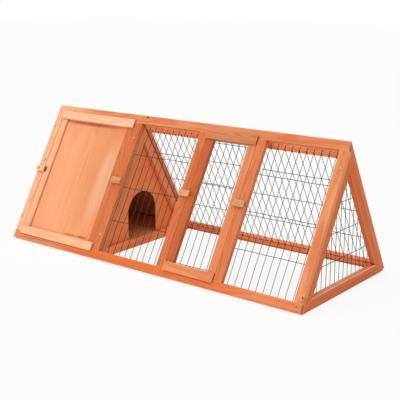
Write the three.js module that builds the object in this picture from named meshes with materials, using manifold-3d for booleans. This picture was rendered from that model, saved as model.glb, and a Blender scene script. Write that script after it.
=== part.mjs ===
// Outdoor rabbit run: an A-frame of timber battens with a plywood nest at its -X end and a wire run
// beyond it. Millimetres, +Z up, X along the ridge, the doors in the slope that faces -Y, origin on the
// ground at the middle of the footprint.

import * as THREE from 'three';
import * as BufferGeometryUtils from 'three/addons/utils/BufferGeometryUtils.js';
import Module from 'manifold-3d';

const wasm = await Module();
wasm.setup();

// ---------------------------------------------------------------- driving dimensions

const LENGTH = 1180;            // along the ridge
const FOOTPRINT = 500;          // front to rear over the lower edges of the slopes
const SLOPE = 504;              // width of a slope, lower edge to ridge

const BATTEN_WIDTH = 28;        // face of every frame batten
const BATTEN_DEPTH = 16;        // thickness of every frame batten
const END_RAIL_HEIGHT = 34;     // face of the rail across each end
const PLY = 4;                  // plywood sheet
const FIT = 0.3;                // gap between pieces that touch on the real object
const DOOR_GAP = 1.5;           // running gap round a door

const NEST_OPENING = 348;       // between the left post and the nest post
const RUN_DOOR_OPENING = 193.5; // between the two posts of the run door

const DOOR_RAIL_WIDTH = 29;     // face of a door's top and bottom rail
const DOOR_RAIL_LAP = 8;        // how far that face laps over the slope's own rail
const DOOR_RAIL_PROUD = 6;      // how far it stands out of the slope
const PANEL_RECESS = 6;         // door plywood behind the stiles' face
const GROOVE_DEPTH = 6;         // how far the door plywood enters its frame

const POPHOLE_WIDTH = 142;
const POPHOLE_TOP = 184;        // crown of the arch above the ground
const SILL_HEIGHT = 28;         // divider's bottom batten
const DIVIDER_INSET = 1.7;      // divider's battens behind the edge of the nest post

const FLOOR_THICKNESS = 5;
const FLOOR_TOP = 24;           // upper face of the nest floor above the ground
const BEARER_WIDTH = 16;
const BEARER_LIFT = 1;          // floor bearers clear the ground

const WIRE = 1.8;               // welded wire
const WELD = 0.3;               // how far two crossing wires sink into each other
const WIRE_PITCH = 25;          // between the wires that run up the slopes and the right end
const LEFT_WIRE = 21.5;         // last such wire of the left mesh, short of the middle post
const RIGHT_WIRE = 10.5;        // first such wire of the right mesh, past the door post
const END_WIRE = -10;            // one such wire of the end mesh, from the middle of the end
const REAR_WIRE = 23;           // first such wire of the rear mesh, inside the post at the right end
const CROSS_RISE = 4;           // lowest wire along the front slope, above the mesh's cut edge
const CROSS_PITCH = 116.4;      // between the wires along the front slope
const REAR_CROSS_RISE = 12.5;   // the same on the rear slope
const REAR_CROSS_PITCH = 110;   // between the wires along the rear slope
const DOOR_CROSS_PITCH = 132;   // between the wires across the run door
const END_CROSS_RISE = 14;      // lowest wire across the right end, above the ground
const END_CROSS_PITCH = 85;     // between the wires across the right end
const MESH_LAP = 10;            // mesh behind the battens that it is stapled to
const MESH_CLEARANCE = 2;       // slope meshes stop this far from the right end's legs

const BUTTON_LENGTH = 40;
const BUTTON_WIDTH = 20;
const BUTTON_DEPTH = 10;
const BUTTON_CORNER = 2;
const BUTTON_REACH = 26.5;      // pivot to the tip over the door
const BUTTON_RISE = 268;        // pivots above the slope's lower edge, along the slope
const NEST_BUTTON_DROP = 8;     // the left-most button sits this much lower

const SCREW_RADIUS = 1.75;
const SCREW_HEAD_RADIUS = 3.8;
const SCREW_HEAD_RISE = 2;
const SCREW_HEAD_RIM = 0.8;     // straight side of the head
const SCREW_HEAD_SHOULDER = 2.66; // radius where the domed head flattens
const SCREW_HEAD_CROWN = 0.2;   // rise of the flatter middle
const SCREW_SLOT_DEPTH = 1;
const SCREW_SLOT_WIDTH = 1;
const FRAME_SCREW_LENGTH = 30;  // under the head
const BUTTON_SCREW_LENGTH = 25;
const SCREW_INSET = 81;         // frame screws from the slope's bottom and top edges
const DIVIDER_SCREW_EDGE = 4;   // screws from the plywood side of the divider's batten
const SCREW_SIDES = 12;
const ARCH_STEPS = 10;

// ---------------------------------------------------------------- worked out from those

const RISE = Math.sqrt(SLOPE ** 2 - (FOOTPRINT / 2) ** 2);
const COS = FOOTPRINT / 2 / SLOPE;
const SIN = RISE / SLOPE;
const PITCH_ANGLE = Math.acos(COS);
const SIN2 = 2 * SIN * COS;
const COS2 = COS * COS - SIN * SIN;

const HALF = LENGTH / 2;
const POSTS = 5;
const BAY = (LENGTH - POSTS * BATTEN_WIDTH - NEST_OPENING - RUN_DOOR_OPENING) / 2;
const POST_LEFT = -HALF;
const POST_NEST = POST_LEFT + BATTEN_WIDTH + NEST_OPENING;
const POST_MID = POST_NEST + BATTEN_WIDTH + BAY;
const POST_DOOR = POST_MID + BATTEN_WIDTH + RUN_DOOR_OPENING;
const POST_RIGHT = POST_DOOR + BATTEN_WIDTH + BAY;

// Divider: its battens stand on the run side of its plywood, behind the nest post.
const DIVIDER_FRONT = POST_NEST + BATTEN_WIDTH - DIVIDER_INSET;
const DIVIDER_BACK = DIVIDER_FRONT - BATTEN_DEPTH - FIT - PLY;
const INNER = BATTEN_DEPTH + FIT; // depth at which pieces behind a slope frame begin

// The bottom rails are cut square, so they stand on their inner edges and their faces start above the ground.
const LIFT = BATTEN_DEPTH * COS;

// Distance up a slope, in the plane n above its face, to the ground, to the face of the other slope and to
// the back of the other slope's frame.
const groundAt = (n) => -((BATTEN_DEPTH + n) * COS) / SIN;
const ridgeAt = (n) => SLOPE - (n * COS2) / SIN2;
const rearRidgeAt = (n) => ridgeAt(n) - INNER / SIN2;

const RAIL_TOP = BATTEN_WIDTH;                    // upper edge of a bottom rail, up the slope
const FRONT_OPENING_TOP = SLOPE - BATTEN_WIDTH;   // lower edge of the front top rail
const REAR_OPENING_TOP = rearRidgeAt(-BATTEN_DEPTH) - BATTEN_WIDTH;

// ---------------------------------------------------------------- materials

function paint(color, roughness, metalness = 0) {
  return new THREE.MeshStandardMaterial({ color, roughness, metalness });
}
const materials = {
  batten: paint(0xe0834f, 0.6),
  doorBatten: paint(0xf0b27a, 0.6),
  ply: paint(0xf0a070, 0.65),
  button: paint(0xe3ad6c, 0.6),
  wire: paint(0x5a5a5c, 0.4, 0.8),
  screw: paint(0xc9c9c4, 0.35, 0.9),
};

// ---------------------------------------------------------------- shaping helpers

function bare(geometry) {
  geometry.deleteAttribute('normal');
  geometry.deleteAttribute('uv');
  return BufferGeometryUtils.mergeVertices(geometry, 1e-4);
}

function solid(geometry) {
  const merged = bare(geometry);
  const mesh = new wasm.Mesh({
    numProp: 3,
    vertProperties: new Float32Array(merged.attributes.position.array),
    triVerts: new Uint32Array(merged.index.array),
  });
  return new wasm.Manifold(mesh);
}

function surface(manifold) {
  const mesh = manifold.getMesh();
  const geometry = new THREE.BufferGeometry();
  geometry.setAttribute('position', new THREE.BufferAttribute(mesh.vertProperties, 3));
  geometry.setIndex(new THREE.BufferAttribute(mesh.triVerts, 1));
  return geometry;
}

function cut(geometry, tools) {
  return surface(tools.map(solid).reduce((body, tool) => body.subtract(tool), solid(geometry)));
}

function fuse(pieces) {
  return surface(pieces.map(solid).reduce((body, piece) => body.add(piece)));
}

function block(x0, x1, y0, y1, z0, z1) {
  const geometry = new THREE.BoxGeometry(x1 - x0, y1 - y0, z1 - z0);
  return geometry.translate((x0 + x1) / 2, (y0 + y1) / 2, (z0 + z1) / 2);
}

function outline(points) {
  const shape = new THREE.Shape();
  points.forEach(([a, b], i) => (i ? shape.lineTo(a, b) : shape.moveTo(a, b)));
  shape.closePath();
  return shape;
}

// Sweeps an outline drawn in (Y, Z) along X.
function alongX(shape, x0, x1) {
  const extrusion = { depth: x1 - x0, bevelEnabled: false, curveSegments: ARCH_STEPS };
  const geometry = new THREE.ExtrudeGeometry(shape, extrusion);
  geometry.rotateY(Math.PI / 2).rotateX(Math.PI / 2);
  return geometry.translate(x0, 0, 0);
}

// Moves chosen edges of a convex outline inwards; edge i runs from point i to point i + 1.
function pullIn(points, distances) {
  const edges = points.map(([ay, az], i) => {
    const [by, bz] = points[(i + 1) % points.length];
    const length = Math.hypot(by - ay, bz - az);
    const normal = [-(bz - az) / length, (by - ay) / length];
    return { normal, offset: normal[0] * ay + normal[1] * az + distances[i] };
  });
  return points.map((_, i) => {
    const a = edges[(i + edges.length - 1) % edges.length];
    const b = edges[i];
    const det = a.normal[0] * b.normal[1] - a.normal[1] * b.normal[0];
    return [
      (a.offset * b.normal[1] - b.offset * a.normal[1]) / det,
      (a.normal[0] * b.offset - b.normal[0] * a.offset) / det,
    ];
  });
}

function named(name, geometry, material, parent) {
  const mesh = new THREE.Mesh(geometry, material);
  mesh.name = name;
  parent.add(mesh);
  return mesh;
}

// ---------------------------------------------------------------- groups

const run = new THREE.Group();

// In a slope's group X runs along the ridge, Y up the slope and Z out of it. The rear group is the front
// one turned half round, so its X runs towards the nest.
const front = new THREE.Group();
front.position.set(0, -FOOTPRINT / 2, LIFT);
front.rotation.x = PITCH_ANGLE;
run.add(front);

const rearTurn = new THREE.Group();
rearTurn.rotation.z = Math.PI;
run.add(rearTurn);
const rear = new THREE.Group();
rear.position.copy(front.position);
rear.rotation.x = PITCH_ANGLE;
rearTurn.add(rear);
run.updateMatrixWorld(true);

// ---------------------------------------------------------------- screws

function screwProfile(length) {
  const tip = SCREW_RADIUS * 2;
  const head = [
    [SCREW_HEAD_RADIUS, FIT],
    [SCREW_HEAD_RADIUS, FIT + SCREW_HEAD_RIM],
    [SCREW_HEAD_SHOULDER, FIT + SCREW_HEAD_RISE - SCREW_HEAD_CROWN],
    [0, FIT + SCREW_HEAD_RISE],
  ];
  const shank = [[0, -length], [SCREW_RADIUS, tip - length], [SCREW_RADIUS, FIT]];
  return [...shank, ...head].map(([r, y]) => new THREE.Vector2(r, y));
}

function screwGeometry(length) {
  const body = bare(new THREE.LatheGeometry(screwProfile(length), SCREW_SIDES)).rotateX(Math.PI / 2);
  const top = FIT + SCREW_HEAD_RISE;
  const arms = [[SCREW_HEAD_RADIUS, SCREW_SLOT_WIDTH], [SCREW_SLOT_WIDTH, SCREW_HEAD_RADIUS]];
  const slots = arms.map(([a, b]) => block(-a / 2, a / 2, -b / 2, b / 2, top - SCREW_SLOT_DEPTH, top + FIT));
  return cut(body, slots);
}

// A clearance hole for a screw whose head rests at height z, down to just past its tip.
function screwHole(x, y, z, length) {
  const radius = SCREW_RADIUS + FIT;
  const hole = new THREE.CylinderGeometry(radius, radius, length + 2 * FIT, SCREW_SIDES);
  return hole.rotateX(Math.PI / 2).translate(x, y, z - length / 2);
}

const END_SCREW_X = HALF - BATTEN_DEPTH / 2;
const DIVIDER_SCREW_X = DIVIDER_FRONT - BATTEN_DEPTH + DIVIDER_SCREW_EDGE;
const screwHeights = [SCREW_INSET, SLOPE - SCREW_INSET];
const frameScrews = [
  { side: 'left', x: -END_SCREW_X },
  { side: 'nest', x: DIVIDER_SCREW_X },
  { side: 'right', x: END_SCREW_X },
];
const screwHoles = (x) => screwHeights.map((y) => screwHole(x, y, 0, FRAME_SCREW_LENGTH));

for (const { side, x } of frameScrews) {
  screwHeights.forEach((y, i) => {
    const name = `frame_screw_${side}_${i ? 'upper' : 'lower'}`;
    const mesh = named(name, screwGeometry(FRAME_SCREW_LENGTH), materials.screw, front);
    mesh.position.set(x, y, 0);
  });
}

// ---------------------------------------------------------------- turn-buttons

const buttons = [
  { name: 'nest_button_left', post: POST_LEFT, towards: 1, drop: NEST_BUTTON_DROP },
  { name: 'nest_button_right', post: POST_NEST, towards: -1, drop: 0 },
  { name: 'run_button_left', post: POST_MID, towards: 1, drop: 0 },
  { name: 'run_button_right', post: POST_DOOR, towards: -1, drop: 0 },
].map((button) => ({ ...button, x: button.post + BATTEN_WIDTH / 2, y: BUTTON_RISE - button.drop }));

function buttonShape({ towards }) {
  const tip = towards * BUTTON_REACH;
  const tail = towards * (BUTTON_REACH - BUTTON_LENGTH);
  const [x0, x1] = [Math.min(tip, tail), Math.max(tip, tail)];
  const y = BUTTON_WIDTH / 2;
  const c = BUTTON_CORNER;
  const shape = outline([
    [x0 + c, -y], [x1 - c, -y], [x1, c - y], [x1, y - c], [x1 - c, y], [x0 + c, y], [x0, y - c], [x0, c - y],
  ]);
  const hole = new THREE.Path();
  hole.absarc(0, 0, SCREW_RADIUS + FIT, 0, 2 * Math.PI, true);
  shape.holes.push(hole);
  return shape;
}

for (const button of buttons) {
  const extrusion = { depth: BUTTON_DEPTH, bevelEnabled: false, curveSegments: SCREW_SIDES / 2 };
  const body = new THREE.ExtrudeGeometry(buttonShape(button), extrusion);
  const mesh = named(button.name, bare(body), materials.button, front);
  mesh.position.set(button.x, button.y, FIT);
  const screw = named(`${button.name}_screw`, screwGeometry(BUTTON_SCREW_LENGTH), materials.screw, front);
  screw.position.set(button.x, button.y, FIT + BUTTON_DEPTH);
}

const buttonHoles = (post) => buttons
  .filter((button) => button.post === post)
  .map(({ x, y }) => screwHole(x, y, FIT + BUTTON_DEPTH, BUTTON_SCREW_LENGTH));

// ---------------------------------------------------------------- slope frames

const D = BATTEN_DEPTH;
const bottomRail = outline([[0, 0], [0, -D], [RAIL_TOP, -D], [RAIL_TOP, 0]]);
const frontTopRail = outline([
  [FRONT_OPENING_TOP, 0], [FRONT_OPENING_TOP, -D], [ridgeAt(-D), -D], [SLOPE, 0],
]);
const rearTopRail = outline([
  [REAR_OPENING_TOP, 0], [REAR_OPENING_TOP, -D], [rearRidgeAt(-D), -D], [rearRidgeAt(0), 0],
]);

const post = (x, top) => block(x, x + BATTEN_WIDTH, RAIL_TOP + FIT, top - FIT, -D, 0);

named('front_top_rail', bare(alongX(frontTopRail, -HALF, HALF)), materials.batten, front);
named('front_bottom_rail', bare(alongX(bottomRail, -HALF, HALF)), materials.batten, front);
named('rear_top_rail', bare(alongX(rearTopRail, -HALF, HALF)), materials.batten, rear);
named('rear_bottom_rail', bare(alongX(bottomRail, -HALF, HALF)), materials.batten, rear);

for (const [name, x, holes] of [
  ['front_post_left', POST_LEFT, screwHoles(-END_SCREW_X)],
  ['front_post_nest', POST_NEST, screwHoles(DIVIDER_SCREW_X)],
  ['front_post_mid', POST_MID, []],
  ['front_post_door', POST_DOOR, []],
  ['front_post_right', POST_RIGHT, screwHoles(END_SCREW_X)],
]) {
  named(name, cut(post(x, FRONT_OPENING_TOP), [...holes, ...buttonHoles(x)]), materials.batten, front);
}

for (const [name, x] of [
  ['rear_post_left', POST_LEFT],
  ['rear_post_nest', POST_NEST],
  ['rear_post_right', POST_RIGHT],
]) {
  named(name, bare(post(-x - BATTEN_WIDTH, REAR_OPENING_TOP)), materials.batten, rear);
}

// ---------------------------------------------------------------- end frames and divider

// Half the width at height z, and the height at distance y from the middle, between the planes that lie
// at a depth below both slopes' faces.
const halfWidth = (z, depth) => FOOTPRINT / 2 - ((z - LIFT) * COS + depth) / SIN;
const heightAt = (y, depth) => LIFT + ((FOOTPRINT / 2 - Math.abs(y)) * SIN - depth) / COS;

// Corners of the triangle between those planes, standing at height z.
function innerTriangle(depth, z) {
  const y = halfWidth(z, depth);
  return [[-y, z], [y, z], [0, heightAt(0, depth)]];
}

const MITRE = FIT / 2;

function triangleFrame(railHeight) {
  const [a, b, apex] = innerTriangle(INNER, 0);
  const [ai, bi, apexi] = innerTriangle(INNER + BATTEN_WIDTH, railHeight);
  return {
    rail: outline(pullIn([a, b, bi, ai], [0, MITRE, 0, MITRE])),
    rearLeg: outline(pullIn([b, apex, apexi, bi], [0, MITRE, 0, MITRE])),
    frontLeg: outline(pullIn([apex, a, ai, apexi], [0, MITRE, 0, MITRE])),
  };
}

const worldHoles = (x) => screwHoles(x).map((hole) => hole.applyMatrix4(front.matrixWorld));

function buildTriangle(names, x0, x1, railHeight, screwX) {
  const { rail, rearLeg, frontLeg } = triangleFrame(railHeight);
  named(names[0], cut(alongX(frontLeg, x0, x1), worldHoles(screwX)), materials.batten, run);
  named(names[1], bare(alongX(rearLeg, x0, x1)), materials.batten, run);
  named(names[2], bare(alongX(rail, x0, x1)), materials.batten, run);
}

buildTriangle(['left_end_front_leg', 'left_end_rear_leg', 'left_end_rail'],
  -HALF, -HALF + D, END_RAIL_HEIGHT, -END_SCREW_X);
buildTriangle(['right_end_front_leg', 'right_end_rear_leg', 'right_end_rail'],
  HALF - D, HALF, END_RAIL_HEIGHT, END_SCREW_X);
buildTriangle(['divider_front_batten', 'divider_rear_batten', 'divider_sill'],
  DIVIDER_FRONT - D, DIVIDER_FRONT, SILL_HEIGHT, DIVIDER_SCREW_X);

const SHEET_EDGE = INNER + 2 * FIT;
const LEFT_SHEET = -HALF + D + FIT;

const leftSheet = outline(innerTriangle(SHEET_EDGE, FIT));
named('left_end_panel', bare(alongX(leftSheet, LEFT_SHEET, LEFT_SHEET + PLY)), materials.ply, run);

function popHole() {
  const r = POPHOLE_WIDTH / 2;
  const spring = POPHOLE_TOP - r;
  const path = new THREE.Path();
  path.moveTo(-r, SILL_HEIGHT);
  path.lineTo(-r, spring);
  path.absarc(0, spring, r, Math.PI, 0, true);
  path.lineTo(r, SILL_HEIGHT);
  path.closePath();
  return path;
}

const dividerSheet = outline(innerTriangle(SHEET_EDGE, FIT));
dividerSheet.holes.push(popHole());
named('divider_panel', bare(alongX(dividerSheet, DIVIDER_BACK, DIVIDER_BACK + PLY)), materials.ply, run);

// ---------------------------------------------------------------- nest walls and floor

const NEST_X0 = LEFT_SHEET + PLY + FIT;
const NEST_X1 = DIVIDER_BACK - FIT;
const SHEET_BOTTOM = groundAt(-INNER - PLY) + FIT;
const SHEET_TOP = rearRidgeAt(-INNER - PLY) - FIT;

const nestWall = block(-NEST_X1, -NEST_X0, SHEET_BOTTOM, SHEET_TOP, -INNER - PLY, -INNER);
named('rear_nest_wall', bare(nestWall), materials.ply, rear);

// Half width of the nest at height z, to the front slope's inner face and to the rear wall's.
const insideFront = (z) => halfWidth(z, INNER);
const insideRear = (z) => halfWidth(z, INNER + PLY + FIT);

const FLOOR_UNDER = FLOOR_TOP - FLOOR_THICKNESS;
const floorShape = outline([
  [-insideFront(FLOOR_UNDER), FLOOR_UNDER], [insideRear(FLOOR_UNDER), FLOOR_UNDER],
  [insideRear(FLOOR_TOP), FLOOR_TOP], [-insideFront(FLOOR_TOP), FLOOR_TOP],
]);
named('nest_floor', bare(alongX(floorShape, NEST_X0, NEST_X1)), materials.ply, run);

const BEARER_TOP = FLOOR_UNDER - FIT;
function bearer(inside, side) {
  const foot = side * inside(BEARER_LIFT);
  const head = side * inside(BEARER_TOP);
  const innerEdge = foot - side * BEARER_WIDTH;
  const points = [[foot, BEARER_LIFT], [innerEdge, BEARER_LIFT], [innerEdge, BEARER_TOP], [head, BEARER_TOP]];
  return bare(alongX(outline(side > 0 ? points.reverse() : points), NEST_X0, NEST_X1));
}
named('floor_bearer_front', bearer(insideFront, -1), materials.batten, run);
named('floor_bearer_rear', bearer(insideRear, 1), materials.batten, run);

// ---------------------------------------------------------------- welded mesh

// Places a pitch apart that pass through one given place and stay within a span.
function through(place, from, to, pitch) {
  const first = place - Math.floor((place - from - WIRE / 2) / pitch) * pitch;
  const count = Math.floor((to - WIRE / 2 - first) / pitch) + 1;
  return Array.from({ length: count }, (_, i) => first + i * pitch);
}

// The same from the middle of the span outwards, with a gap in the middle when their number is even.
function spread(from, to, pitch) {
  const count = Math.floor((to - from - WIRE) / pitch) + 1;
  return through((from + to - (count - 1) * pitch) / 2, from, to, pitch);
}

// A flat mesh in a slope's own axes: wires up the slope, one of them along each cut edge in place of any
// that would lie against it, then wires across behind them.
function meshPanel([x0, x1], [y0, y1], places, crossings) {
  const w = WIRE / 2;
  const clear = 2 * WIRE;
  const inner = places.filter((x) => x - w - x0 > clear && x1 - x - w > clear);
  const ups = [x0 + w, ...inner, x1 - w];
  const upDepth = -INNER;
  const acrossDepth = -INNER - WIRE + WELD;
  return fuse([
    ...ups.map((x) => block(x - w, x + w, y0, y1, upDepth - WIRE, upDepth)),
    ...crossings.map((y) => block(x0, x1, y - w, y + w, acrossDepth - WIRE, acrossDepth)),
  ]);
}

const MESH_BOTTOM = RAIL_TOP - MESH_LAP;
const FRONT_MESH_TOP = ridgeAt(-INNER - 2 * WIRE) - (D + FIT) / SIN2 - FIT;
const CROSS_WIRES = [0, 1, 2, 3];
const frontCrossings = CROSS_WIRES.map((i) => MESH_BOTTOM + CROSS_RISE + i * CROSS_PITCH);
const rearCrossings = CROSS_WIRES.map((i) => MESH_BOTTOM + REAR_CROSS_RISE + i * REAR_CROSS_PITCH);

const MESH_END = HALF - D - MESH_CLEARANCE;
const frontMeshRise = [MESH_BOTTOM, FRONT_MESH_TOP];
const leftSpan = [DIVIDER_FRONT + FIT, POST_MID + MESH_LAP];
const leftUps = through(POST_MID - LEFT_WIRE, ...leftSpan, WIRE_PITCH);
const frontLeft = meshPanel(leftSpan, frontMeshRise, leftUps, frontCrossings);
named('front_mesh_left', frontLeft, materials.wire, front);

const DOOR_POST_EDGE = POST_DOOR + BATTEN_WIDTH;
const rightSpan = [DOOR_POST_EDGE - MESH_LAP, MESH_END];
const rightUps = through(DOOR_POST_EDGE + RIGHT_WIRE, ...rightSpan, WIRE_PITCH);
const frontRight = meshPanel(rightSpan, frontMeshRise, rightUps, frontCrossings);
named('front_mesh_right', frontRight, materials.wire, front);

const rearSpan = [-MESH_END, -DIVIDER_FRONT - FIT];
const rearUps = through(-POST_RIGHT + REAR_WIRE, ...rearSpan, WIRE_PITCH);
const rearMeshRise = [MESH_BOTTOM, REAR_OPENING_TOP + MESH_LAP];
const rearMesh = meshPanel(rearSpan, rearMeshRise, rearUps, rearCrossings);
named('rear_mesh', rearMesh, materials.wire, rear);

// The end mesh is cut to the triangle and stapled to the inner face of the end frame.
function endMesh() {
  const w = WIRE / 2;
  const edge = INNER + BATTEN_WIDTH - MESH_LAP;
  const z0 = END_CROSS_RISE - WIRE;
  const x1 = HALF - D - FIT;
  const across = x1 - WIRE + WELD;
  const reach = halfWidth(z0 + w, edge) - WIRE;
  const ups = through(END_WIRE, -reach, reach, WIRE_PITCH).map((y) => {
    const top = heightAt(Math.abs(y) + w, edge);
    return block(x1 - WIRE, x1, y - w, y + w, z0, top);
  });
  const acrosses = CROSS_WIRES.map((i) => {
    const z = END_CROSS_RISE + i * END_CROSS_PITCH;
    const half = halfWidth(z + w, edge);
    return block(across - WIRE, across, -half, half, z - w, z + w);
  });
  return fuse([...ups, ...acrosses]);
}
named('right_end_mesh', endMesh(), materials.wire, run);

// ---------------------------------------------------------------- doors

const LIP = FIT;                                   // back of the rail's lap, just clear of the slope
const DOOR_BOTTOM = RAIL_TOP + DOOR_GAP;
const DOOR_TOP = FRONT_OPENING_TOP - DOOR_GAP;
const LAP_BOTTOM = RAIL_TOP - DOOR_RAIL_LAP;
const LAP_TOP = FRONT_OPENING_TOP + DOOR_RAIL_LAP;
const STILE_BOTTOM = LAP_BOTTOM + DOOR_RAIL_WIDTH;
const STILE_TOP = LAP_TOP - DOOR_RAIL_WIDTH;

const P = DOOR_RAIL_PROUD;
const lowerDoorRail = outline([
  [LAP_BOTTOM, LIP], [DOOR_BOTTOM, LIP], [DOOR_BOTTOM, -D],
  [STILE_BOTTOM, -D], [STILE_BOTTOM, P], [LAP_BOTTOM, P],
]);
const upperDoorRail = outline([
  [STILE_TOP, -D], [DOOR_TOP, -D], [DOOR_TOP, LIP],
  [LAP_TOP, LIP], [LAP_TOP, P], [STILE_TOP, P],
]);

// The plywood and the slightly larger space that it needs in the frame round it.
function doorPanel(x0, x1, spare) {
  const g = GROOVE_DEPTH - FIT + spare;
  const z1 = -PANEL_RECESS + spare;
  const z0 = -PANEL_RECESS - PLY - spare;
  return block(x0 + BATTEN_WIDTH - g, x1 - BATTEN_WIDTH + g, STILE_BOTTOM - g, STILE_TOP + g, z0, z1);
}

function buildDoor(name, x0, x1, groove) {
  const pieces = {
    bottom_rail: alongX(lowerDoorRail, x0, x1),
    top_rail: alongX(upperDoorRail, x0, x1),
    left_stile: block(x0, x0 + BATTEN_WIDTH, STILE_BOTTOM + FIT, STILE_TOP - FIT, -D, 0),
    right_stile: block(x1 - BATTEN_WIDTH, x1, STILE_BOTTOM + FIT, STILE_TOP - FIT, -D, 0),
  };
  for (const [piece, geometry] of Object.entries(pieces)) {
    const material = piece.endsWith('rail') ? materials.doorBatten : materials.batten;
    named(`${name}_${piece}`, cut(geometry, groove), material, front);
  }
}

const NEST_DOOR_X0 = POST_LEFT + BATTEN_WIDTH + DOOR_GAP;
const NEST_DOOR_X1 = POST_NEST - DOOR_GAP;
buildDoor('nest_door', NEST_DOOR_X0, NEST_DOOR_X1, [doorPanel(NEST_DOOR_X0, NEST_DOOR_X1, FIT)]);
named('nest_door_panel', bare(doorPanel(NEST_DOOR_X0, NEST_DOOR_X1, 0)), materials.ply, front);

const RUN_DOOR_X0 = POST_MID + BATTEN_WIDTH + DOOR_GAP;
const RUN_DOOR_X1 = POST_DOOR - DOOR_GAP;
buildDoor('run_door', RUN_DOOR_X0, RUN_DOOR_X1, []);

const doorSpan = [RUN_DOOR_X0 + BATTEN_WIDTH - MESH_LAP, RUN_DOOR_X1 - BATTEN_WIDTH + MESH_LAP];
const doorRise = [STILE_BOTTOM - MESH_LAP, STILE_TOP + MESH_LAP];
const doorUps = spread(...doorSpan, WIRE_PITCH);
const doorMesh = meshPanel(doorSpan, doorRise, doorUps, spread(...doorRise, DOOR_CROSS_PITCH));
named('run_door_mesh', doorMesh, materials.wire, front);

export default run;
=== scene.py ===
"""Outdoor rabbit run: stained timber, plywood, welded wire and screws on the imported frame, with floor,
light and camera. Metres; lengths that repeat the CAD's are given in millimetres and scaled by MM."""

import math
import random

import bmesh
import bpy
from mathutils import Matrix, Vector


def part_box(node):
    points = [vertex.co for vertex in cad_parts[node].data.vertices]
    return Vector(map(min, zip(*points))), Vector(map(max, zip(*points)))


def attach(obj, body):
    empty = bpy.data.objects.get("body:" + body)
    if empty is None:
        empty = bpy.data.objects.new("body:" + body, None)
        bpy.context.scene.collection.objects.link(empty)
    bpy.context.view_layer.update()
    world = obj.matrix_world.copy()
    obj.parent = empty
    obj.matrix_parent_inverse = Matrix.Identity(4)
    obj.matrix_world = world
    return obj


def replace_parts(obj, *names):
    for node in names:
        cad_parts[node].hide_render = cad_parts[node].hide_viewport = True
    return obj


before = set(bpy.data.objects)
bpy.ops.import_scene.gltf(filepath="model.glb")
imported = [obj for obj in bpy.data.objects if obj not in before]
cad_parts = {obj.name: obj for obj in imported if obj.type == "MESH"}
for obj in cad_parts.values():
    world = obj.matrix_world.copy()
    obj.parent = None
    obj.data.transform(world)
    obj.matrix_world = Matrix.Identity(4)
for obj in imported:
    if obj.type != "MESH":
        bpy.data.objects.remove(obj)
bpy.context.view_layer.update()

MM = 0.001

# ---------------------------------------------------------------- sizes shared with the CAD, in millimetres

FOOTPRINT = 500
SLOPE = 504
BATTEN_WIDTH = 28
BATTEN_DEPTH = 16
FIT = 0.3
WIRE = 1.8
WELD = 0.3
WIRE_PITCH = 25
MESH_LAP = 10

COS = FOOTPRINT / 2 / SLOPE
SIN = math.sqrt(1 - COS * COS)
LIFT = BATTEN_DEPTH * COS
INNER = BATTEN_DEPTH + FIT

ALONG = Vector((1, 0, 0))
UP = Vector((0, 0, 1))
FRONT_UP = Vector((0, COS, SIN))
FRONT_OUT = Vector((0, -SIN, COS))
REAR_UP = Vector((0, -COS, SIN))
REAR_OUT = Vector((0, SIN, COS))
ACROSS = Vector((0, 1, 0))


def on_slope(x, rise, depth, rear=False):
    """World point (m) from millimetres along the ridge, up a slope and below its face."""
    y = -FOOTPRINT / 2 + rise * COS + depth * SIN
    z = LIFT + rise * SIN - depth * COS
    return Vector((x, -y if rear else y, z)) * MM


# ---------------------------------------------------------------- node helpers


def linear(red, green, blue):
    """An sRGB colour, 0 to 255, as linear RGBA."""
    values = [c / 255 for c in (red, green, blue)]
    return [c / 12.92 if c <= 0.04045 else ((c + 0.055) / 1.055) ** 2.4 for c in values] + [1]


class Shader:
    """A new material's node tree, with short ways to add nodes to it."""

    def __init__(self, name):
        self.material = bpy.data.materials.new(name)
        self.material.use_nodes = True
        self.tree = self.material.node_tree
        self.tree.nodes.clear()
        self.output = self.tree.nodes.new("ShaderNodeOutputMaterial")

    def put(self, socket, value):
        if isinstance(value, bpy.types.NodeSocket):
            self.tree.links.new(value, socket)
        else:
            socket.default_value = value

    def add(self, kind, inputs, output=0, **settings):
        node = self.tree.nodes.new("ShaderNode" + kind)
        for key, value in settings.items():
            setattr(node, key, value)
        for key, value in inputs.items():
            self.put(node.inputs[key], value)
        return node.outputs[output]

    def math(self, operation, *values, clamp=False):
        return self.add("Math", dict(enumerate(values)), operation=operation, use_clamp=clamp)

    def vector(self, operation, *values, output=0):
        return self.add("VectorMath", dict(enumerate(values)), output, operation=operation)

    def noise(self, place, scale=1.0, detail=2.0, roughness=0.5, output=0):
        inputs = {"Vector": place, "Scale": scale, "Detail": detail, "Roughness": roughness}
        return self.add("TexNoise", inputs, output)

    def remap(self, value, low, high, to_low=0.0, to_high=1.0, smooth=False):
        inputs = {"Value": value, "From Min": low, "From Max": high, "To Min": to_low, "To Max": to_high}
        kind = "SMOOTHSTEP" if smooth else "LINEAR"
        return self.add("MapRange", inputs, interpolation_type=kind)

    def mix(self, factor, a, b, blend="MIX"):
        node = self.tree.nodes.new("ShaderNodeMix")
        node.data_type = "RGBA"
        node.blend_type = blend
        self.put(node.inputs["Factor"], factor)
        self.put(node.inputs[6], a)
        self.put(node.inputs[7], b)
        return node.outputs[2]

    def surface(self, color, roughness, height=None, bump=0.0, depth=0.0002, metallic=0.0, specular=0.5):
        shader = self.tree.nodes.new("ShaderNodeBsdfPrincipled")
        self.put(shader.inputs["Base Color"], color)
        self.put(shader.inputs["Roughness"], roughness)
        shader.inputs["Metallic"].default_value = metallic
        shader.inputs["Specular IOR Level"].default_value = specular
        if height is not None:
            inputs = {"Strength": bump, "Distance": depth, "Height": height}
            self.put(shader.inputs["Normal"], self.add("Bump", inputs))
        self.tree.links.new(shader.outputs[0], self.output.inputs["Surface"])
        return self.material


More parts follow.
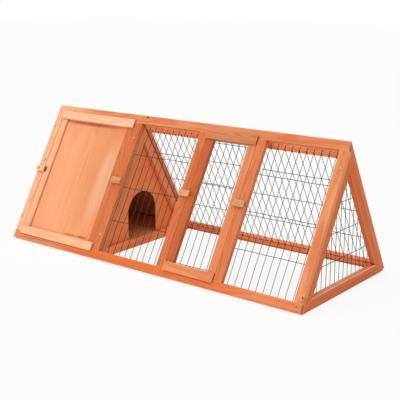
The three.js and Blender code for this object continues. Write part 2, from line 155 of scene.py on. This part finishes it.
# ---------------------------------------------------------------- wood

# Stains and marks, as the sRGB colour of the finished surface. 'pale', 'blond' and 'panel' are also paler to
# paint the stronger light at the left-hand end, and 'bright' to paint the light on the rear bottom rail's
# inner face.
TONES = {
    "blond": (249, 196, 154),
    "pale": (253, 189, 144),
    "honey": (236, 151, 100),
    "warm": (231, 144, 95),
    "amber": (225, 130, 82),
    "dull": (210, 134, 90),
    "mid": (232, 122, 64),
    "bright": (254, 151, 96),
    "deep": (219, 121, 73),
    "russet": (217, 117, 65),
    "dark": (200, 101, 54),
    "panel": (247, 168, 121),
    "panel_edge": (236, 152, 100),
    "panel_pale": (240, 177, 134),
    "sheet": (250, 140, 82),
    "cream": (250, 211, 160),
    "tan": (222, 160, 108),
    "umber": (132, 66, 38),
    "moss": (168, 118, 66),
}
KNOT_CORE = linear(96, 44, 24)
KNOT_RIM = linear(158, 74, 36)
# Painted shade: the wood darkens where the ambient-occlusion node finds surfaces close by, in joints, corners
# and recesses. Partly it also stands for dirt in the joints.
CREVICE_DIRT_AND_SHADE = linear(128, 54, 26)
CREVICE_SHADE_REACH = 0.008
# Paler wood along convex edges: partly wear, partly a painted highlight where light catches the arrises.
WORN_AND_HIGHLIGHT = linear(255, 196, 146)
WORN_HIGHLIGHT_REACH = 0.0016
EARLY_WOOD = (1.01, 1.03, 1.05)  # red, green and blue over the stain's own
LATE_WOOD = (0.93, 0.82, 0.74)
RING_SPACING = 0.0042
RING_WANDER = 0.05
PITH_ACROSS = (-0.02, 0.02)
PITH_BEHIND = (0.02, 0.05)
KNOT_STRETCH = 1.5  # a knot's length along the grain over its width
# How fine each pattern is along the grain, across the board and through it.
WANDER_SCALE = (1.6, 7, 7)
STREAK_SCALE = (2.2, 95, 95)
FIBRE_SCALE = (22, 1500, 1500)
BLOTCH_SCALE = (7, 16, 16)
# How much each pattern adds to the late wood's share.
RING_SHARE = 0.34
STREAK_SHARE = 0.75
FIBRE_SHARE = 0.38
BLOTCH_SHARE = 0.5
# How much of its own colour each mark lays over the wood, and how much painted shade the crevices take.
CORE_SHARE = 0.55      # a sheet's middle ply
END_GRAIN_SHARE = 0.5  # sawn ends
KNOT_SHARE = 0.75      # a knot's rim
CREVICE_SHADE_SHARE = 0.8
WOOD_GLOSS = 0.15


def stain(tone):
    """A stain on pale early wood and on darker late wood."""
    return [linear(*(c * k for c, k in zip(TONES[tone], season))) for season in (EARLY_WOOD, LATE_WOOD)]


def board_axes(length, width):
    """Rotation that turns world axes into a board's: along its grain, across its face, through it."""
    return Matrix((length, width, length.cross(width)))


def board_place(shader, axes, centre, seed):
    """Coordinates in the board's own axes, from its middle, and the same moved to its own piece of timber."""
    coordinates = shader.add("TexCoord", {}, output="Object")
    inputs = {
        "Vector": coordinates,
        "Location": -(axes @ centre),
        "Rotation": axes.to_euler(),
    }
    local = shader.add("Mapping", inputs)
    draw = random.Random(seed)
    timber = Vector([draw.uniform(-20, 20) for _ in range(3)])
    return local, shader.vector("ADD", local, timber)


def knot_fields(shader, local, knots):
    """How far each knot darkens the wood and how far it pushes the rings aside."""
    dark, push = 0.0, 0.0
    for along, across, radius in knots:
        inputs = {"Vector": local, "Location": (-along / KNOT_STRETCH, -across, 0)}
        inputs["Scale"] = (1 / KNOT_STRETCH, 1, 0)
        offset = shader.add("Mapping", inputs)
        distance = shader.vector("LENGTH", offset, output="Value")
        spot = shader.remap(distance, radius, radius * 0.55, smooth=True)
        halo = shader.remap(distance, radius * 3.5, radius * 0.5, 0, radius * 1.4, smooth=True)
        dark = shader.math("MAXIMUM", dark, spot)
        push = shader.math("ADD", push, halo)
    return dark, push


def patch(shader, local, along, across, half_length, half_width, turn):
    """1 inside an ellipse on the board's face, falling softly to 0 at its edge."""
    inputs = {
        "Vector": local,
        "Location": (along * MM, across * MM, 0),
        "Rotation": (0, 0, math.radians(turn)),
        "Scale": (half_length * MM, half_width * MM, 1000),
    }
    offset = shader.add("Mapping", inputs, vector_type="TEXTURE")
    return shader.remap(shader.vector("LENGTH", offset, output="Value"), 1.0, 0.3, smooth=True)


def wood(name, length, width, centre, tone, seed, knots=(), patches=(), figure=1.0, plies=None):
    """Stained softwood, or plywood if plies gives the sheet's thickness."""
    shader = Shader(name)
    axes = board_axes(length, width)
    local, timber = board_place(shader, axes, centre, seed)
    dark, push = knot_fields(shader, local, knots)

    wander = shader.noise(shader.vector("MULTIPLY", timber, WANDER_SCALE), detail=2, output="Color")
    wander = shader.vector("SUBTRACT", wander, (0.5, 0.5, 0.5))
    draw = random.Random(seed + 1)
    pith = (0, draw.uniform(*PITH_ACROSS), draw.uniform(*PITH_BEHIND) * draw.choice((-1, 1)))
    spread = shader.vector("MULTIPLY", wander, (0, RING_WANDER, RING_WANDER))
    ring_place = shader.vector("ADD", shader.vector("MULTIPLY", local, (0, 1, 1)), pith)
    radius = shader.vector("LENGTH", shader.vector("ADD", ring_place, spread), output="Value")
    radius = shader.math("ADD", radius, push)
    turns = shader.math("MULTIPLY", radius, 2 * math.pi / RING_SPACING)
    ring = shader.remap(shader.math("SINE", turns), -0.4, 1.0, smooth=True)

    streak = shader.noise(shader.vector("MULTIPLY", timber, STREAK_SCALE), detail=3, roughness=0.6)
    fibre = shader.noise(shader.vector("MULTIPLY", timber, FIBRE_SCALE), detail=2, roughness=0.7)
    blotch = shader.noise(shader.vector("MULTIPLY", timber, BLOTCH_SCALE), detail=3)

    amount = shader.math("MULTIPLY", ring, RING_SHARE * figure)
    amount = shader.math("MULTIPLY_ADD", streak, STREAK_SHARE * figure, amount)
    amount = shader.math("MULTIPLY_ADD", fibre, FIBRE_SHARE, amount)
    amount = shader.math("MULTIPLY_ADD", blotch, BLOTCH_SHARE, amount)
    amount = shader.remap(amount, 0.5 + 0.2 * figure, 1.05 + 0.3 * figure)
    early, late = stain(tone)
    for other, share, *shape in patches:
        cover = shader.math("MULTIPLY", patch(shader, local, *shape), share)
        other_early, other_late = stain(other)
        early = shader.mix(cover, early, other_early)
        late = shader.mix(cover, late, other_late)
    color = shader.mix(amount, early, late)
    if plies:
        through = shader.add("SeparateXYZ", {0: local}, output=2)
        core = shader.math("LESS_THAN", shader.math("ABSOLUTE", through), plies / 6)
        color = shader.mix(shader.math("MULTIPLY", core, CORE_SHARE), color, KNOT_RIM)
    if knots:
        color = shader.mix(shader.math("MULTIPLY", dark, KNOT_SHARE), color, KNOT_RIM)
        color = shader.mix(shader.remap(dark, 0.75, 1.0, 0, 0.8), color, KNOT_CORE)

    facing = shader.add("TexCoord", {}, output="Normal")
    end_grain = shader.math("ABSOLUTE", shader.vector("DOT_PRODUCT", facing, length, output="Value"))
    color = shader.mix(shader.remap(end_grain, 0.75, 0.95, 0, END_GRAIN_SHARE), color, KNOT_RIM)
    # Painted shade in joints, corners and recesses from the ambient-occlusion node, partly dirt in the
    # joints.
    unshaded = shader.add("AmbientOcclusion", {"Distance": CREVICE_SHADE_REACH}, output="AO", samples=8)
    color = shader.mix(shader.remap(unshaded, 0.8, 0.3, 0, CREVICE_SHADE_SHARE), color, CREVICE_DIRT_AND_SHADE)
    # Convex edges turn paler: partly wear, partly a painted highlight on the arrises.
    solid = shader.add(
        "AmbientOcclusion", {"Distance": WORN_HIGHLIGHT_REACH}, output="AO", samples=8, inside=True, only_local=True
    )
    worn_and_highlight = shader.math("MULTIPLY", shader.remap(solid, 0.9, 0.5), shader.remap(streak, 0.3, 0.6, 0.25, 0.6))
    color = shader.mix(worn_and_highlight, color, WORN_AND_HIGHLIGHT)

    roughness = shader.remap(shader.math("ADD", fibre, amount), 0.3, 1.6, 0.48, 0.66)
    height = shader.math("MULTIPLY_ADD", ring, -0.35, shader.math("MULTIPLY", fibre, 0.9))
    return shader.surface(color, roughness, height, bump=0.35, depth=0.0003, specular=WOOD_GLOSS)


# ---------------------------------------------------------------- metal


def steel(name, bright, dark, low, high, scale, metallic, specular):
    """Dull or zinc-plated steel with spangle, a little tarnish and fine scratches."""
    shader = Shader(name)
    place = shader.add("TexCoord", {}, output="Object")
    tarnish = shader.noise(place, scale=scale, detail=4, roughness=0.65)
    scratch = shader.noise(shader.vector("MULTIPLY", place, (900, 900, 2600)), detail=2)
    color = shader.mix(shader.remap(tarnish, 0.35, 0.7), bright, dark)
    roughness = shader.remap(shader.math("ADD", tarnish, scratch), 0.6, 1.4, low, high)
    return shader.surface(color, roughness, scratch, 0.15, 0.0001, metallic, specular)


WIRE_STEEL = steel("wire_steel", linear(66, 54, 48), linear(36, 29, 26), 0.45, 0.68, 60, 0.15, 0.2)
SCREW_ZINC = steel("screw_zinc", linear(198, 196, 190), linear(132, 128, 120), 0.35, 0.55, 240, 0.7, 0.3)

# ---------------------------------------------------------------- boards

BEVEL = 0.9 * MM
SHEET_BEVEL = 0.4 * MM
SHEET_FIGURE = 0.5

# Each board's grain direction, the direction across its face, and its stain. The boards at the left-hand end
# take paler tones that paint the stronger light falling there.
BOARDS = {
    "front_top_rail": (ALONG, FRONT_UP, "warm"),
    "front_bottom_rail": (ALONG, FRONT_UP, "mid"),
    "front_post_left": (FRONT_UP, ALONG, "pale"),
    "front_post_nest": (FRONT_UP, ALONG, "deep"),
    "front_post_mid": (FRONT_UP, ALONG, "deep"),
    "front_post_door": (FRONT_UP, ALONG, "amber"),
    "front_post_right": (FRONT_UP, ALONG, "honey"),
    "rear_top_rail": (ALONG, REAR_UP, "bright"),
    # Painted light: 'bright' is paler than the stain, standing for the light that reaches this rail's inner
    # face.
    "rear_bottom_rail": (ALONG, REAR_UP, "bright"),
    "rear_post_left": (REAR_UP, ALONG, "mid"),
    "rear_post_nest": (REAR_UP, ALONG, "mid"),
    "rear_post_right": (REAR_UP, ALONG, "mid"),
    "left_end_front_leg": (FRONT_UP, FRONT_OUT, "mid"),
    "left_end_rear_leg": (REAR_UP, REAR_OUT, "mid"),
    "left_end_rail": (ACROSS, UP, "mid"),
    "right_end_front_leg": (FRONT_UP, FRONT_OUT, "russet"),
    "right_end_rear_leg": (REAR_UP, REAR_OUT, "russet"),
    "right_end_rail": (ACROSS, UP, "russet"),
    "divider_front_batten": (FRONT_UP, FRONT_OUT, "warm"),
    "divider_rear_batten": (REAR_UP, REAR_OUT, "bright"),
    "divider_sill": (ACROSS, UP, "bright"),
    "floor_bearer_front": (ALONG, ACROSS, "mid"),
    "floor_bearer_rear": (ALONG, ACROSS, "mid"),
    "nest_door_top_rail": (ALONG, FRONT_UP, "blond"),
    "nest_door_bottom_rail": (ALONG, FRONT_UP, "pale"),
    "nest_door_left_stile": (FRONT_UP, ALONG, "pale"),
    "nest_door_right_stile": (FRONT_UP, ALONG, "deep"),
    "run_door_top_rail": (ALONG, FRONT_UP, "dull"),
    "run_door_bottom_rail": (ALONG, FRONT_UP, "honey"),
    "run_door_left_stile": (FRONT_UP, ALONG, "dark"),
    "run_door_right_stile": (FRONT_UP, ALONG, "warm"),
    "nest_button_left": (ALONG, FRONT_UP, "cream"),
    "nest_button_right": (ALONG, FRONT_UP, "tan"),
    "run_button_left": (ALONG, FRONT_UP, "tan"),
    "run_button_right": (ALONG, FRONT_UP, "tan"),
}
SHEETS = {
    "nest_door_panel": (FRONT_UP, ALONG, "panel", 4),
    "rear_nest_wall": (REAR_UP, ALONG, "panel_edge", 4),
    "left_end_panel": (UP, ACROSS, "panel_edge", 4),
    "divider_panel": (UP, ACROSS, "sheet", 4),
    "nest_floor": (ALONG, ACROSS, "sheet", 5),
}
# Knots, as distances along and across the board from its middle and a radius, in millimetres.
KNOTS = {
    "front_top_rail": [(-169, 10, 5), (-510, -2, 2)],
    "front_post_left": [(43, 6, 3)],
    "front_post_right": [(-208, 9, 3)],
    "front_bottom_rail": [(574, 3, 2.4)],
    "rear_bottom_rail": [(210, 4, 3.4)],
    "right_end_rail": [(-90, -8, 2)],
    "rear_post_left": [(120, -4, 4)],
    "left_end_front_leg": [(-60, 3, 3)],
}

# Places where the colour differs: the other stain, its share, the place along and across from the board's
# middle, half the length and half the width, in millimetres, and the turn in degrees. Most are stain; the
# ones marked paint light or shade.
PATCHES = {
    # The pale left end of the top rail paints the stronger light at the left-hand end.
    "front_top_rail": [("pale", 0.9, -600, 0, 240, 60, 0), ("deep", 0.5, 420, 0, 260, 60, 0)],
    "front_bottom_rail": [("warm", 1.0, -560, 0, 340, 60, 0), ("warm", 0.8, 540, 0, 260, 60, 0)],
    "front_post_left": [("umber", 0.5, -227, -41, 9, 6, 0)],
    "front_post_right": [("umber", 0.6, -222, 11, 22, 4, 6)],
    "right_end_rail": [
        ("moss", 0.6, 129, -4, 11, 7, 0),
        ("moss", 0.3, 30, -5, 60, 6, 0),
        # Painted highlight: a pale strip along the rail's top arris, where light catches it.
        ("blond", 1.0, 0, 15, 400, 2.8, 0),
    ],
    "right_end_rear_leg": [("dark", 0.6, 60, 0, 150, 12, 2)],
    # Painted shade: the right-hand end of the left button darkened where its end face is in shade.
    "nest_button_left": [("umber", 0.9, 21, 0, 3.5, 40, 0)],
    "nest_door_panel": [
        ("panel_edge", 1.0, 70, 170, 460, 270, 0),
        ("panel_pale", 1.0, 0, 114, 190, 50, 4),
        ("umber", 0.6, -195, 106, 6, 34, 0),
        ("umber", 0.4, -196, 50, 5, 42, 0),
        # Painted shadow: a dark band along the top of the panel, under the door's top rail.
        ("dark", 0.9, 197, -20, 8, 170, 0),
    ],
}

# Boards with a quieter grain than the rest.
QUIET = {"nest_door_top_rail": 0.5, "nest_door_bottom_rail": 0.5}


def dress(name, material, bevel=BEVEL):
    """Gives a CAD node its material, flat faces whole again and eased edges."""
    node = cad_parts[name]
    node.data.materials.clear()
    node.data.materials.append(material)
    if bevel:
        whole = node.modifiers.new("whole_faces", "DECIMATE")
        whole.decimate_type = "DISSOLVE"
        whole.angle_limit = math.radians(1)
        eased = node.modifiers.new("eased_edges", "BEVEL")
        eased.width = bevel
        eased.segments = 2
        eased.limit_method = "ANGLE"
        eased.angle_limit = math.radians(40)
        eased.use_clamp_overlap = False


def middle(name):
    low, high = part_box(name)
    return (low + high) / 2


for index, (name, (length, width, tone)) in enumerate(BOARDS.items()):
    knots = [[value * MM for value in knot] for knot in KNOTS.get(name, ())]
    patches = PATCHES.get(name, ())
    figure = QUIET.get(name, 1.0)
    dress(name, wood(name, length, width, middle(name), tone, index, knots, patches, figure))
for index, (name, (length, width, tone, thickness)) in enumerate(SHEETS.items()):
    seed = len(BOARDS) + index
    patches = PATCHES.get(name, ())
    sheet = wood(name, length, width, middle(name), tone, seed, (), patches, SHEET_FIGURE, thickness * MM)
    dress(name, sheet, SHEET_BEVEL)
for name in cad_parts:
    if name.endswith("_screw") or name.startswith("frame_screw"):
        dress(name, SCREW_ZINC, 0)

# ---------------------------------------------------------------- welded wire

TUBE_SIDES = 8
UP_RADIUS = 0.85 * MM
CROSS_RADIUS = 0.95 * MM
STAPLE_RADIUS = 0.5
STAPLE_HALF = 2.8
STAPLE_FOOT = -WIRE / 2 - FIT - 2  # 2 mm into the timber
WIRE_STEP = 14  # between the rings of a tube
UP_SWAY = 0.4
CROSS_SWAY = 0.35
LEAN = 0.5
# Where a staple's legs and the ends of its crown stand, as shares of its half length.
STAPLE_LEG = 1
STAPLE_SHOULDER = 0.8
STAPLE_ROUND = 0.5  # how far the crown stands past the tops of the legs, in millimetres


def tube(mesh, points, radius):
    """A closed round wire along points."""
    rings = []
    for i, point in enumerate(points):
        before, after = points[max(i - 1, 0)], points[min(i + 1, len(points) - 1)]
        direction = (after - before).normalized()
        side = direction.orthogonal() if i == 0 else side - direction * side.dot(direction)
        side.normalize()
        other = direction.cross(side)
        ring = []
        for k in range(TUBE_SIDES):
            angle = 2 * math.pi * k / TUBE_SIDES
            ring.append(mesh.verts.new(point + (side * math.cos(angle) + other * math.sin(angle)) * radius))
        rings.append(ring)
    for a, b in zip(rings, rings[1:]):
        for k in range(TUBE_SIDES):
            mesh.faces.new((a[k], a[(k + 1) % TUBE_SIDES], b[(k + 1) % TUBE_SIDES], b[k]))
    mesh.faces.new(reversed(rings[0]))
    mesh.faces.new(rings[-1])


def wire_piece(name, body, lines):
    """One piece made of round wires, each a list of points and a radius."""
    mesh = bmesh.new()
    for points, radius in lines:
        tube(mesh, points, radius)
    bmesh.ops.recalc_face_normals(mesh, faces=mesh.faces)
    data = bpy.data.meshes.new(name)
    mesh.to_mesh(data)
    mesh.free()
    for face in data.polygons:
        face.use_smooth = True
    piece = bpy.data.objects.new(name, data)
    bpy.context.scene.collection.objects.link(piece)
    data.materials.append(WIRE_STEEL)
    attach(piece, body)
    return piece


def welded_mesh(name, body, place, ups, crossings, seed):
    """Wires ups (across, from, to) and crossings (height, from, to); place makes points on their plane."""
    draw = random.Random(seed)
    phases = [draw.uniform(0, 2 * math.pi) for _ in range(4)]

    def sway(a, b):
        wave_a = math.sin(a / 47 + phases[0]) + math.sin(a / 19 + b / 83 + phases[1])
        wave_b = math.sin(b / 61 + phases[2]) + math.sin(b / 23 + a / 71 + phases[3])
        return CROSS_SWAY * wave_a, UP_SWAY * wave_b

    def spaced(start, end):
        count = max(2, round((end - start) / WIRE_STEP))
        return [start + (end - start) * i / count for i in range(count + 1)]

    lines = []
    for across, start, end in ups:
        lean = draw.uniform(-LEAN, LEAN)
        line = [place(across + lean + sway(across, h)[1], h, 0) for h in spaced(start, end)]
        lines.append((line, UP_RADIUS))
    for height, start, end in crossings:
        line = [place(a, height + sway(a, height)[0], WIRE - WELD) for a in spaced(start, end)]
        lines.append((line, CROSS_RADIUS))
    return wire_piece(name, body, lines)


def staples(name, body, spots, place):
    """Staples over the wires at spots (across, height, upright), upright ones over a crossing wire."""
    lines = []
    for across, height, upright in spots:
        crown = STAPLE_RADIUS + (WIRE - WELD + CROSS_RADIUS / MM if upright else UP_RADIUS / MM)
        half = [(STAPLE_LEG, STAPLE_FOOT), (STAPLE_LEG, crown - STAPLE_ROUND), (STAPLE_SHOULDER, crown)]
        shape = [(-side, behind) for side, behind in half] + half[::-1]
        line = []
        for side, behind in shape:
            reach = side * STAPLE_HALF
            if upright:
                line.append(place(across, height + reach, behind))
            else:
                line.append(place(across + reach, height, behind))
        lines.append((line, STAPLE_RADIUS * MM))
    return wire_piece(name, body, lines)


def extent(node):
    """A mesh node's span along the ridge, in millimetres."""
    low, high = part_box(node)
    return low.x / MM, high.x / MM


def slope_place(rear=False):
    depth = INNER + WIRE / 2
    return lambda across, height, behind: on_slope(across, height, depth + behind, rear)


def wires_between(first, last, known):
    """Wires a pitch apart that pass through a known place, plus one along each edge."""
    low, high = first + WIRE / 2, last - WIRE / 2
    start = known - math.floor((known - low - 2 * WIRE) / WIRE_PITCH) * WIRE_PITCH
    places = [start + i * WIRE_PITCH for i in range(int((high - 2 * WIRE - start) / WIRE_PITCH) + 1)]
    return [low, *places, high]


def slope_mesh(node, body, known, heights, span, rear=False, seed=0):
    x0, x1 = extent(node)
    low, high = span
    ups = [(x, low, high) for x in wires_between(x0, x1, known)]
    crossings = [(height, x0, x1) for height in heights]
    piece = welded_mesh(node + "_wires", body, slope_place(rear), ups, crossings, seed)
    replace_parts(piece, node)


def rise_of(node, rear=False):
    """How far up its slope a mesh node begins and ends, in millimetres."""
    rises = []
    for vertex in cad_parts[node].data.vertices:
        y = (-vertex.co.y if rear else vertex.co.y) / MM + FOOTPRINT / 2
        z = vertex.co.z / MM - LIFT
        rises.append(y * COS + z * SIN)
    return min(rises), max(rises)


FRONT_CROSSINGS = [22, 138.4, 254.8, 371.2]
REAR_CROSSINGS = [30.5, 140.5, 250.5, 360.5]
DOOR_CROSSINGS = [54, 186, 318, 450]
REAR_FOOT = 24  # the rear uprights are snipped short of the mesh's cut edge, just past the rail's
# One upright wire of each net, along the ridge from the middle.
LEFT_WIRE = 41.75
RIGHT_WIRE = 323.25
REAR_WIRE = 539
DOOR_WIRE = 188
# Staples on the nets' edge wires, up the slope and clear of every crossing wire.
FRONT_EDGE_STAPLES = (80, 200, 310, 420)
REAR_EDGE_STAPLES = (80, 195, 305, 410)
DOOR_EDGE_STAPLES = (110, 250, 390)
# Staples along the nets' feet, from the middle of the ridge.
LEFT_FOOT_STAPLES = range(-121, 60, 50)
RIGHT_FOOT_STAPLES = range(336, 560, 50)
REAR_FOOT_STAPLES = range(-161, 540, 100)
END_FOOT_STAPLES = range(-172, 180, 50)  # across the end, from its middle
REAR_STAPLE_RISE = REAR_FOOT + 2

front_rise = rise_of("front_mesh_left")
rear_rise = (REAR_FOOT, rise_of("rear_mesh", True)[1])
slope_mesh("front_mesh_left", "frame", LEFT_WIRE, FRONT_CROSSINGS, front_rise, seed=1)
slope_mesh("front_mesh_right", "frame", RIGHT_WIRE, FRONT_CROSSINGS, front_rise, seed=2)
slope_mesh("rear_mesh", "frame", REAR_WIRE, REAR_CROSSINGS, rear_rise, True, seed=3)
slope_mesh("run_door_mesh", "run_door", DOOR_WIRE, DOOR_CROSSINGS, rise_of("run_door_mesh"), seed=4)


def slope_staples(node, body, edges, feet, foot_rise, upright, rises=FRONT_EDGE_STAPLES, rear=False):
    """Staples up the mesh's edge wires and along its foot."""
    x0, x1 = extent(node)
    edge_wires = {"left": x0 + WIRE / 2, "right": x1 - WIRE / 2}
    spots = [(edge_wires[edge], rise, False) for edge in edges for rise in rises]
    spots += [(x, foot_rise, upright) for x in feet]
    staples(node + "_staples", body, spots, slope_place(rear))


BOTH = ["left", "right"]
FRONT_FOOT = FRONT_CROSSINGS[0]

slope_staples("front_mesh_left", "frame", ["right"], LEFT_FOOT_STAPLES, FRONT_FOOT, True)
slope_staples("front_mesh_right", "frame", BOTH, RIGHT_FOOT_STAPLES, FRONT_FOOT, True)
slope_staples(
    "rear_mesh", "frame", ["right"], REAR_FOOT_STAPLES, REAR_STAPLE_RISE, False, REAR_EDGE_STAPLES, True
)
slope_staples("run_door_mesh", "run_door", BOTH, (), 0, False, DOOR_EDGE_STAPLES)


END_CROSSINGS = [14, 99, 184, 269]
END_WIRE = -10  # one upright wire of the end mesh, from the middle of the end


def end_mesh():
    node = "right_end_mesh"
    low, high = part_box(node)
    face = high.x / MM - WIRE / 2
    bottom = low.z / MM
    edge = INNER + BATTEN_WIDTH - MESH_LAP

    def half_width(z):
        return FOOTPRINT / 2 - ((z - LIFT) * COS + edge) / SIN

    def height_at(y):
        return LIFT + ((FOOTPRINT / 2 - abs(y)) * SIN - edge) / COS

    reach = half_width(bottom + WIRE / 2) - WIRE
    count = math.floor((reach - WIRE / 2 - END_WIRE) / WIRE_PITCH)
    first = -math.floor((END_WIRE + reach - WIRE / 2) / WIRE_PITCH)
    places = [END_WIRE + WIRE_PITCH * i for i in range(first, count + 1)]
    ups = [(y, bottom, height_at(abs(y) + WIRE / 2)) for y in places]
    crossings = [(z, -half_width(z + WIRE / 2), half_width(z + WIRE / 2)) for z in END_CROSSINGS]

    def place(across, height, behind):
        return Vector((face - behind, across, height)) * MM

    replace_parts(welded_mesh(node + "_wires", "frame", place, ups, crossings, 5), node)
    spots = [(y, END_CROSSINGS[0], True) for y in END_FOOT_STAPLES]
    staples(node + "_staples", "frame", spots, place)


end_mesh()

# ---------------------------------------------------------------- floor, light and camera

FLOOR_SIZE = 30
FLOOR_COLOR = (0.96, 0.96, 0.96, 1)
FLOOR_SEEN_WHITE = 0.8  # how much of the floor is plain white to the camera, gloss and glass
WORLD_LEVEL = 0.3
WHITE = (1, 1, 1, 1)
# Each sun's direction, its level and how wide it is in degrees.
SUNS = {
    "key": ((-0.45, -0.88, 0.12), 0.31, 35),
    "fill": ((0.75, -0.45, 0.48), 0.2, 60),
    "top": ((0, -0.1, 1), 0.47, 70),
}


def floor_and_world():
    bpy.ops.mesh.primitive_plane_add(size=FLOOR_SIZE, location=(0, 0, 0))
    floor = bpy.context.object
    floor.name = "floor"
    shader = Shader("floor")
    path = shader.tree.nodes.new("ShaderNodeLightPath")
    seen = shader.math("MAXIMUM", path.outputs["Is Camera Ray"], path.outputs["Is Glossy Ray"])
    seen = shader.math("MAXIMUM", seen, path.outputs["Is Transmission Ray"])
    diffuse = shader.add("BsdfDiffuse", {"Color": FLOOR_COLOR})
    white = shader.add("Emission", {"Color": WHITE, "Strength": 1})
    share = shader.math("MULTIPLY", seen, FLOOR_SEEN_WHITE)
    mixed = shader.add("MixShader", {0: share, 1: diffuse, 2: white})
    shader.tree.links.new(mixed, shader.output.inputs["Surface"])
    floor.data.materials.append(shader.material)

    world = bpy.data.worlds.new("studio")
    bpy.context.scene.world = world
    world.use_nodes = True
    nodes, links = world.node_tree.nodes, world.node_tree.links
    nodes.clear()
    path = nodes.new("ShaderNodeLightPath")
    output = nodes.new("ShaderNodeOutputWorld")
    light = nodes.new("ShaderNodeBackground")
    light.inputs["Strength"].default_value = WORLD_LEVEL
    backdrop = nodes.new("ShaderNodeBackground")
    mixed = nodes.new("ShaderNodeMixShader")
    glossy = nodes.new("ShaderNodeMath")
    glossy.operation = "MAXIMUM"
    links.new(path.outputs["Is Camera Ray"], glossy.inputs[0])
    links.new(path.outputs["Is Glossy Ray"], glossy.inputs[1])
    seen = nodes.new("ShaderNodeMath")
    seen.operation = "MAXIMUM"
    links.new(glossy.outputs[0], seen.inputs[0])
    links.new(path.outputs["Is Transmission Ray"], seen.inputs[1])
    for background in (light, backdrop):
        background.inputs["Color"].default_value = WHITE
    links.new(seen.outputs[0], mixed.inputs[0])
    links.new(light.outputs[0], mixed.inputs[1])
    links.new(backdrop.outputs[0], mixed.inputs[2])
    links.new(mixed.outputs[0], output.inputs["Surface"])


def soft_sun(name, toward, level, angle):
    """A soft sun; at level 1 alone, a face square to it shows its own colour."""
    data = bpy.data.lights.new(name, "SUN")
    data.energy = level * math.pi
    data.angle = math.radians(angle)
    lamp = bpy.data.objects.new(name, data)
    lamp.rotation_mode = "QUATERNION"
    lamp.rotation_quaternion = Vector(toward).to_track_quat("Z", "Y")
    bpy.context.scene.collection.objects.link(lamp)


CAMERA_TARGET = Vector((0.0368, 0.0161, 0.1865))
CAMERA_AZIMUTH = math.radians(38.265)
CAMERA_ELEVATION = math.radians(14.113)
CAMERA_ROLL = math.radians(0.072)
CAMERA_DISTANCE = 2.8338
CAMERA_LENS = 77.954
SENSOR = 36


def camera():
    data = bpy.data.cameras.new("camera")
    data.sensor_width = SENSOR
    data.lens = CAMERA_LENS
    back = Vector((
        math.sin(CAMERA_AZIMUTH) * math.cos(CAMERA_ELEVATION),
        -math.cos(CAMERA_AZIMUTH) * math.cos(CAMERA_ELEVATION),
        math.sin(CAMERA_ELEVATION),
    ))
    seat = bpy.data.objects.new("camera", data)
    seat.location = CAMERA_TARGET + back * CAMERA_DISTANCE
    seat.rotation_mode = "QUATERNION"
    roll = Matrix.Rotation(CAMERA_ROLL, 3, "Z").to_quaternion()
    seat.rotation_quaternion = (-back).to_track_quat("-Z", "Y") @ roll
    bpy.context.scene.collection.objects.link(seat)
    bpy.context.scene.camera = seat


floor_and_world()
for name, (toward, level, angle) in SUNS.items():
    soft_sun(name, toward, level, angle)
camera()
bpy.context.scene.view_settings.view_transform = "Standard"
